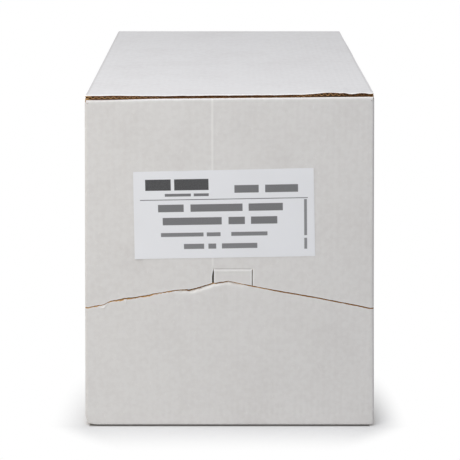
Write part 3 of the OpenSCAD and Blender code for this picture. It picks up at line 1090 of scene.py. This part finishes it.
def label_sheet():
    """The label: a thin sheet turned by its tilt that follows the front panel, its lower left corner a little
    loose."""
    u = np.linspace(-LABEL_W / 2, LABEL_W / 2, 90)[None, :]
    v = np.linspace(-LABEL_H / 2, LABEL_H / 2, 46)[:, None]
    centre = (label_low + label_high) / 2
    x = centre[0] + u * math.cos(LABEL_TILT) - v * math.sin(LABEL_TILT)
    z = centre[2] + u * math.sin(LABEL_TILT) + v * math.cos(LABEL_TILT)
    loose = 0.35 * smooth(1 - np.hypot(u + LABEL_W / 2, v + LABEL_H / 2) / 9)
    curl = 0.08 * smooth((np.abs(u) - LABEL_W / 2 + 2) / 2)
    curl = curl + 0.05 * smooth((np.abs(v) - LABEL_H / 2 + 1.5) / 1.5)
    off = front_out(x, z) + 0.02 + loose + curl * (0.5 + 0.5 * noise(u + v, 11, 51))
    outer, inner = grid(x, FRONT - off - LABEL_T, z), grid(x, FRONT - off, z)
    return [close_board([(outer, inner, x, 0 * x, 0 * x)], (WHITE, WHITE, WHITE))]


hood_outer_flap = fluted_flap(FRONT, BEND_Y, TOP, DECK, FLAP_INSET, True)
hood_glue_flap = glue_flap((FRONT + FOLD_REACH, FRONT + GLUE_FLAP), (DECK, DECK - BOARD))
hood_dust_flaps = dust_flaps((FRONT + GLUE_FLAP + SLOT, HOOD_END), (DECK, DECK - BOARD))
lid_fold = ("lid", "carton_body", (0, BACK - FOLD, TOP), (0, BACK, TOP - FOLD))
tab_fold = ("lid", "push_tab", (0, FRONT, CREASE + 0.5), (0, FRONT, CREASE - 1.5))
add_board("hood_walls", hood_walls(), body="lid", replaced=["lid"])
add_board("hood_outer_flap", hood_outer_flap, body="lid")
add_board("hood_glue_flap", hood_glue_flap, body="lid")
add_board("hood_dust_flaps", hood_dust_flaps, body="lid")
add_board("lid_bend", bend_strip(), bend=lid_fold)
add_board("thumb_tab", tab_board(), body="push_tab", replaced=["push_tab"])
add_board("thumb_tab_crease", crease_strip(), bend=tab_fold)
add_piece("label_sheet", label_sheet(), label_finishes, "label_paper", body="lid", replaced=["label"])

# ---------------------------------------------------------------- studio


PALE_FLOOR = (0.75, 0.75, 0.75)
# painted shade on the floor under the carton
PAINTED_FLOOR_SHADE = (0.37, 0.355, 0.345)
FLOOR_HALF = 6.0  # metres
FLOOR_LOW = -0.0003


def studio_floor():
    """Pale floor that takes the carton's shadow and soon fades to the plain white background. Painted shade
    darkens it right under the carton, which shows only in the crack below the front."""
    finish = new_finish("studio_floor")
    _, (x, y, _) = finish.place()
    ahead = abs(y) - BACK
    # painted shade: the floor darkens right under the carton
    under = (abs(x) - HALF_W).most(ahead).step(0.25, -0.3)
    colour = finish.blend(under, PALE_FLOOR, PAINTED_FLOOR_SHADE)
    finish.surface(colour, 0.9, 0.0)
    beside = (abs(x) + ahead.most(0.0) * 0.7 - HALF_W).most(0.0) * 1.6
    apart = finish.node("CombineXYZ", None, {"X": beside, "Y": ahead.most(ahead * -0.36)})
    distance = finish.node("VectorMath", {"operation": "LENGTH"}, {0: apart}, 1)
    white = finish.node("Emission", None, {"Strength": 1.0})
    shaded = Wire(finish, finish.tree.nodes["Principled BSDF"].outputs[0])
    far = distance.step(-8.0, 38.0) * distance.step(0.4, 2.4) * finish.seen()
    mixed = finish.node("MixShader", None, {0: far, 1: shaded, 2: white})
    finish.tree.links.new(mixed.socket, finish.tree.nodes["Material Output"].inputs["Surface"])
    mesh = bpy.data.meshes.new("studio_floor")
    corners = [(u * FLOOR_HALF, v * FLOOR_HALF, FLOOR_LOW) for u, v in ((-1, -1), (1, -1), (1, 1), (-1, 1))]
    mesh.from_pydata(corners, [], [(0, 1, 2, 3)])
    mesh.materials.append(finish.owner)
    floor = bpy.data.objects.new("studio_floor", mesh)
    bpy.context.scene.collection.objects.link(floor)


def softbox(name, place, target, size, power, colour):
    """A square lamp at a place, turned towards a target."""
    lamp = bpy.data.lights.new(name, "AREA")
    lamp.shape = "SQUARE"
    lamp.size = size
    lamp.energy = power
    lamp.color = colour
    holder = bpy.data.objects.new(name, lamp)
    bpy.context.scene.collection.objects.link(holder)
    holder.location = place
    aim = np.array(target) - np.array(place)
    holder.rotation_euler = (
        math.acos(-aim[2] / np.linalg.norm(aim)),
        0,
        math.atan2(aim[1], aim[0]) - math.pi / 2,
    )


def studio_world(sky):
    """Even pale sky, which the camera sees as plain white."""
    world = bpy.data.worlds.new("studio_sky")
    bpy.context.scene.world = world
    finish = Finish(world)
    strength = sky + finish.seen() * (1.0 - sky)
    finish.fill(finish.tree.nodes["Background"], {"Color": (1.0, 1.0, 1.0, 1.0), "Strength": strength})


LENS = 119.6
CAMERA_PLACE = (0.0003, -0.9626, 0.3451)
CAMERA_DIP = 13.92  # degrees below level


def studio_camera():
    """Camera in front of the carton, a little above it and tipped down."""
    camera = bpy.data.cameras.new("studio_camera")
    camera.lens = LENS
    camera.sensor_width = 36.0
    camera.shift_y = -0.08
    holder = bpy.data.objects.new("studio_camera", camera)
    bpy.context.scene.collection.objects.link(holder)
    holder.location = CAMERA_PLACE
    holder.rotation_euler = (math.radians(90 - CAMERA_DIP), 0, 0)
    bpy.context.scene.camera = holder


studio_floor()
studio_world(sky=0.36)
softbox(
    "key_lamp",
    place=(-0.6, -0.55, 0.4),
    target=(0, -0.13, 0.12),
    size=0.4,
    power=1.43,
    colour=(1.0, 0.91, 0.705),
)
softbox(
    "top_lamp",
    place=(-0.25, -0.45, 1.0),
    target=(0, -0.05, 0.12),
    size=0.7,
    power=6.3,
    colour=(0.892, 0.92, 1.0),
)
studio_camera()
bpy.context.scene.view_settings.view_transform = "Standard"
